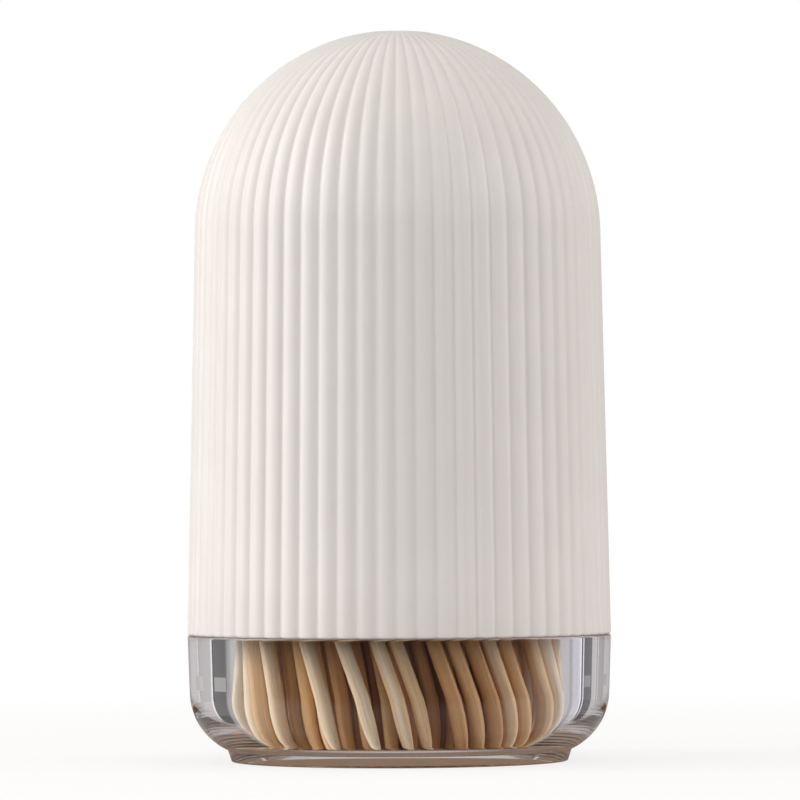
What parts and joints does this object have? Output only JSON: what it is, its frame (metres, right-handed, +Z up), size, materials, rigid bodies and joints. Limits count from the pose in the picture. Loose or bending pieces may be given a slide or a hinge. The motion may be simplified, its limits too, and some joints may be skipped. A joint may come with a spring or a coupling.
{
  "type": "toothpick dispenser",
  "caption": "Table jar for toothpicks: a ribbed dome cover lifts off a thick clear cup in which wooden toothpicks stand and lean.",
  "frame": {"origin": "centre of the foot ring on the table", "axes": "+Z up along the axis of the cup and the cover; -Y is the side that the picture shows"},
  "size_m": [0.06, 0.06, 0.1032],
  "materials": {
    "white_cover": "warm white moulded plastic, satin mould texture",
    "clear_cup": "clear moulded polystyrene, polished",
    "toothpick_wood": "bare wood or bamboo, light cream to brown, turned and pointed"
  },
  "bodies": {
    "cup": {"base_cup": "clear_cup"},
    "cover": {"cover_shell": "white_cover"},
    "toothpicks": {"toothpick_01": "toothpick_wood", "toothpick_02": "toothpick_wood", "toothpick_03": "toothpick_wood", "toothpick_04": "toothpick_wood", "toothpick_05": "toothpick_wood", "toothpick_06": "toothpick_wood", "toothpick_07": "toothpick_wood", "toothpick_08": "toothpick_wood", "toothpick_09": "toothpick_wood", "toothpick_10": "toothpick_wood", "toothpick_11": "toothpick_wood", "toothpick_12": "toothpick_wood", "toothpick_13": "toothpick_wood", "toothpick_14": "toothpick_wood", "toothpick_15": "toothpick_wood", "toothpick_16": "toothpick_wood", "toothpick_17": "toothpick_wood", "toothpick_18": "toothpick_wood", "toothpick_19": "toothpick_wood", "toothpick_20": "toothpick_wood", "toothpick_21": "toothpick_wood", "toothpick_22": "toothpick_wood", "toothpick_23": "toothpick_wood", "toothpick_24": "toothpick_wood", "toothpick_25": "toothpick_wood", "toothpick_26": "toothpick_wood", "toothpick_27": "toothpick_wood", "toothpick_28": "toothpick_wood", "toothpick_29": "toothpick_wood", "toothpick_30": "toothpick_wood", "toothpick_31": "toothpick_wood", "toothpick_32": "toothpick_wood", "toothpick_33": "toothpick_wood", "toothpick_34": "toothpick_wood", "toothpick_35": "toothpick_wood", "toothpick_36": "toothpick_wood", "toothpick_37": "toothpick_wood", "toothpick_38": "toothpick_wood", "toothpick_39": "toothpick_wood", "toothpick_40": "toothpick_wood", "toothpick_41": "toothpick_wood", "toothpick_42": "toothpick_wood", "toothpick_43": "toothpick_wood", "toothpick_44": "toothpick_wood", "toothpick_45": "toothpick_wood", "toothpick_46": "toothpick_wood", "toothpick_47": "toothpick_wood", "toothpick_48": "toothpick_wood", "toothpick_49": "toothpick_wood", "toothpick_50": "toothpick_wood", "toothpick_51": "toothpick_wood", "toothpick_52": "toothpick_wood", "toothpick_53": "toothpick_wood", "toothpick_54": "toothpick_wood", "toothpick_55": "toothpick_wood", "toothpick_56": "toothpick_wood", "toothpick_57": "toothpick_wood", "toothpick_58": "toothpick_wood"}
  },
  "joints": [
    {"name": "cover_lift", "type": "slide", "parent": "cup", "child": "cover", "axis": [0, 0, 1], "range_m": [0, 0.06]},
    {"name": "toothpicks_rise", "type": "slide", "parent": "cup", "child": "toothpicks", "axis": [0, 0, 1], "range_m": [0, 0.014]}
  ]
}
